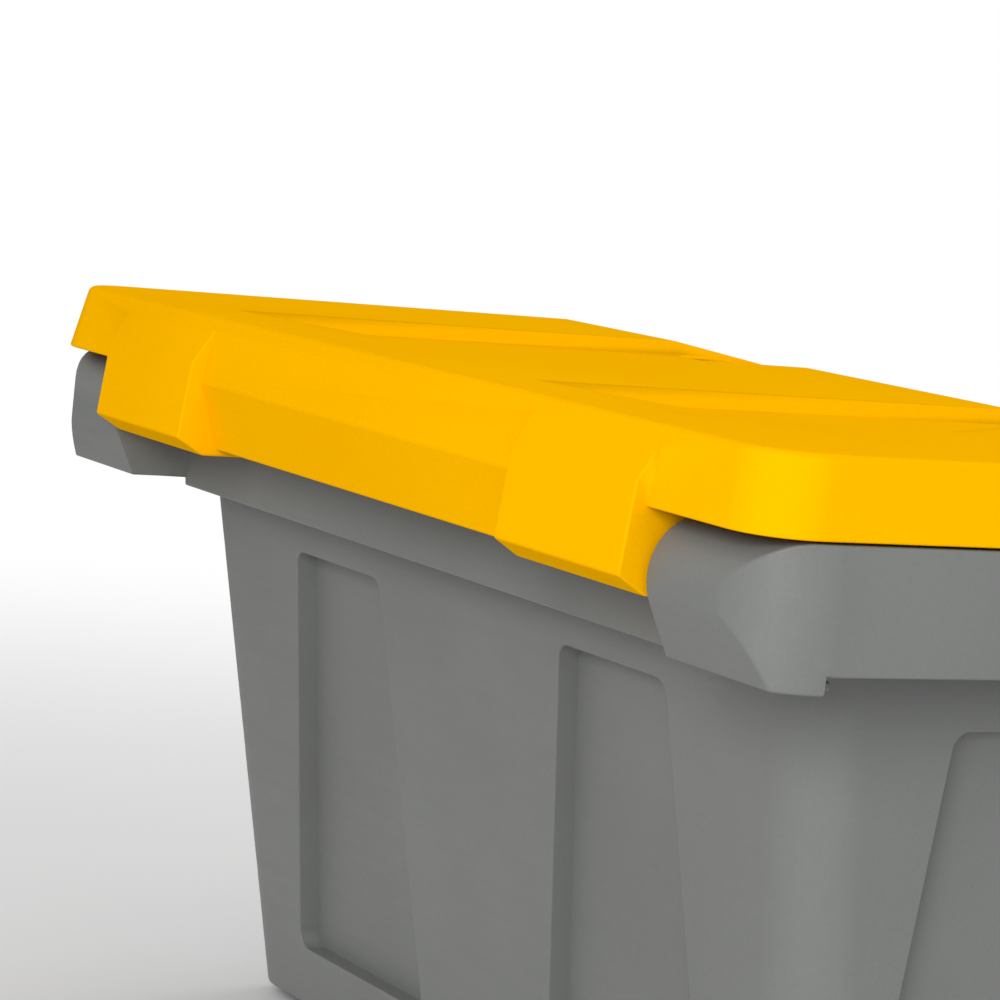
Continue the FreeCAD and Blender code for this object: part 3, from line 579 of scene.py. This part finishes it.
# %% Latches and their grip ribs
ribs, rib_height, rib_half = 5, 1.0 * mm, 15.5 * mm
eye, grip_low, grip_rise, grip_deep = 3.5 * mm, 13.5 * mm, 15.0 * mm, 1.2 * mm

for name in ("left", "right"):
    node = "latch_" + name
    plate = rounded_copy(node, "latch_plate_" + name, 0.6 * mm)
    finish_piece(plate, node, latch_plastic, [node])
    low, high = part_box(node)
    middle = (low + high) / 2
    u = np.linspace(-1, 1, 61)[:, None]
    v = np.linspace(0, 1, 81)[None, :]
    face = low.y + grip_deep
    relief = rib_height * np.sin(np.pi * ribs * v) ** 2 * (1 - np.abs(u) ** 6)
    first = low.z + eye + grip_low
    front = np.stack([middle.x + rib_half * u + 0 * v, face - relief, first + grip_rise * v + 0 * u],
                     axis=-1)
    back = front[:, ::-1].copy()
    back[..., 1] = face + 0.4 * mm
    mesh = grid_mesh("ribs", np.concatenate([front, back], axis=1))
    piece = mesh_object("grip_ribs_" + name, mesh)
    piece.data.materials.append(latch_plastic)
    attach(piece, node)
print("ribs on each latch", ribs)


# %% [markdown]
# ## Floor, light and camera
# A studio set for such a box has an even white ground, one broad soft light near the
# viewer and a little fill from the sides, so that rounded corners carry a soft highlight
# while flat faces stay even. The world gives the even part and three area lights the rest.
# The camera stands low behind the left hinge, with a long lens.

# %% Floor
floor_mesh = bpy.data.meshes.new("floor")
reach = 40.0
fade_from, fade_to = 0.5, 1.7
floor_mesh.from_pydata([(-reach, -reach, 0), (reach, -reach, 0), (reach, reach, 0), (-reach, reach, 0)],
                       [], [(0, 1, 2, 3)])
floor = mesh_object("floor", floor_mesh)
floor_material, floor_tree, floor_shader, _ = new_material("pale_floor", 0.85)
floor_shader.inputs["Base Color"].default_value = (0.80, 0.80, 0.80, 1.0)
floor_mesh.materials.append(floor_material)
# far from the box the floor turns into the same white as the room, so it has no far edge
at_place = floor_tree.nodes.new("ShaderNodeTexCoord").outputs["Object"]
distance = add_node(floor_tree, "ShaderNodeVectorMath", Vector=at_place)
distance.operation = "LENGTH"
fade = add_node(floor_tree, "ShaderNodeMapRange", Value=distance.outputs["Value"])
fade.interpolation_type = "SMOOTHSTEP"
fade.inputs["From Min"].default_value = fade_from
fade.inputs["From Max"].default_value = fade_to
straight = floor_tree.nodes.new("ShaderNodeLightPath").outputs["Is Camera Ray"]
strength = add_node(floor_tree, "ShaderNodeMapRange", Value=straight)
strength.inputs["To Min"].default_value = 0.30
glow = add_node(floor_tree, "ShaderNodeEmission", Color=(1.0, 1.0, 1.0, 1.0),
                Strength=strength.outputs["Result"])
blend_out = floor_tree.nodes.new("ShaderNodeMixShader")
floor_tree.links.new(fade.outputs["Result"], blend_out.inputs[0])
floor_tree.links.new(floor_shader.outputs[0], blend_out.inputs[1])
floor_tree.links.new(glow.outputs[0], blend_out.inputs[2])
floor_tree.links.new(blend_out.outputs[0], floor_tree.nodes["Material Output"].inputs["Surface"])

# %% World
world = bpy.data.worlds.new("white_room")
bpy.context.scene.world = world
world.use_nodes = True
tree = world.node_tree
backdrop = tree.nodes["Background"]
backdrop.inputs["Color"].default_value = (1.0, 1.0, 1.0, 1.0)
backdrop.inputs["Strength"].default_value = 1.0
fill = add_node(tree, "ShaderNodeBackground", Color=(1.0, 1.0, 1.0, 1.0), Strength=0.62)
seen = tree.nodes.new("ShaderNodeLightPath").outputs["Is Camera Ray"]
choice = tree.nodes.new("ShaderNodeMixShader")
tree.links.new(seen, choice.inputs[0])
tree.links.new(fill.outputs[0], choice.inputs[1])
tree.links.new(backdrop.outputs[0], choice.inputs[2])
tree.links.new(choice.outputs[0], tree.nodes["World Output"].inputs["Surface"])


# %% Lights
def soft_light(name, place, target, size, power):
    """A square area light at place that looks at target; size in metres, power in watts."""
    light = bpy.data.lights.new(name, "AREA")
    light.shape = "SQUARE"
    light.size = size
    light.energy = power
    lamp = bpy.data.objects.new(name, light)
    bpy.context.scene.collection.objects.link(lamp)
    lamp.location = place
    lamp.rotation_euler = (Vector(target) - Vector(place)).to_track_quat("-Z", "Y").to_euler()
    return lamp


target = (0.0, 0.0, 0.22)
soft_light("key", (-1.6, 1.7, 1.0), target, 1.0, 34)
soft_light("side_fill", (-2.2, -0.3, 0.8), target, 1.2, 2)
soft_light("front_fill", (0.6, -2.2, 1.3), target, 1.6, 22)
print("lights 3")

# %% Camera
camera_data = bpy.data.cameras.new("camera")
camera_data.lens = 127.84
camera_data.sensor_width = 36.0
camera_data.clip_end = 50.0
camera = bpy.data.objects.new("camera", camera_data)
bpy.context.scene.collection.objects.link(camera)
camera.location = (-1.2670, 0.8773, 0.4342)
camera.rotation_euler = [math.radians(a) for a in (83.6866, -6.1822, -120.5703)]
bpy.context.scene.camera = camera
bpy.context.scene.view_settings.view_transform = "Standard"
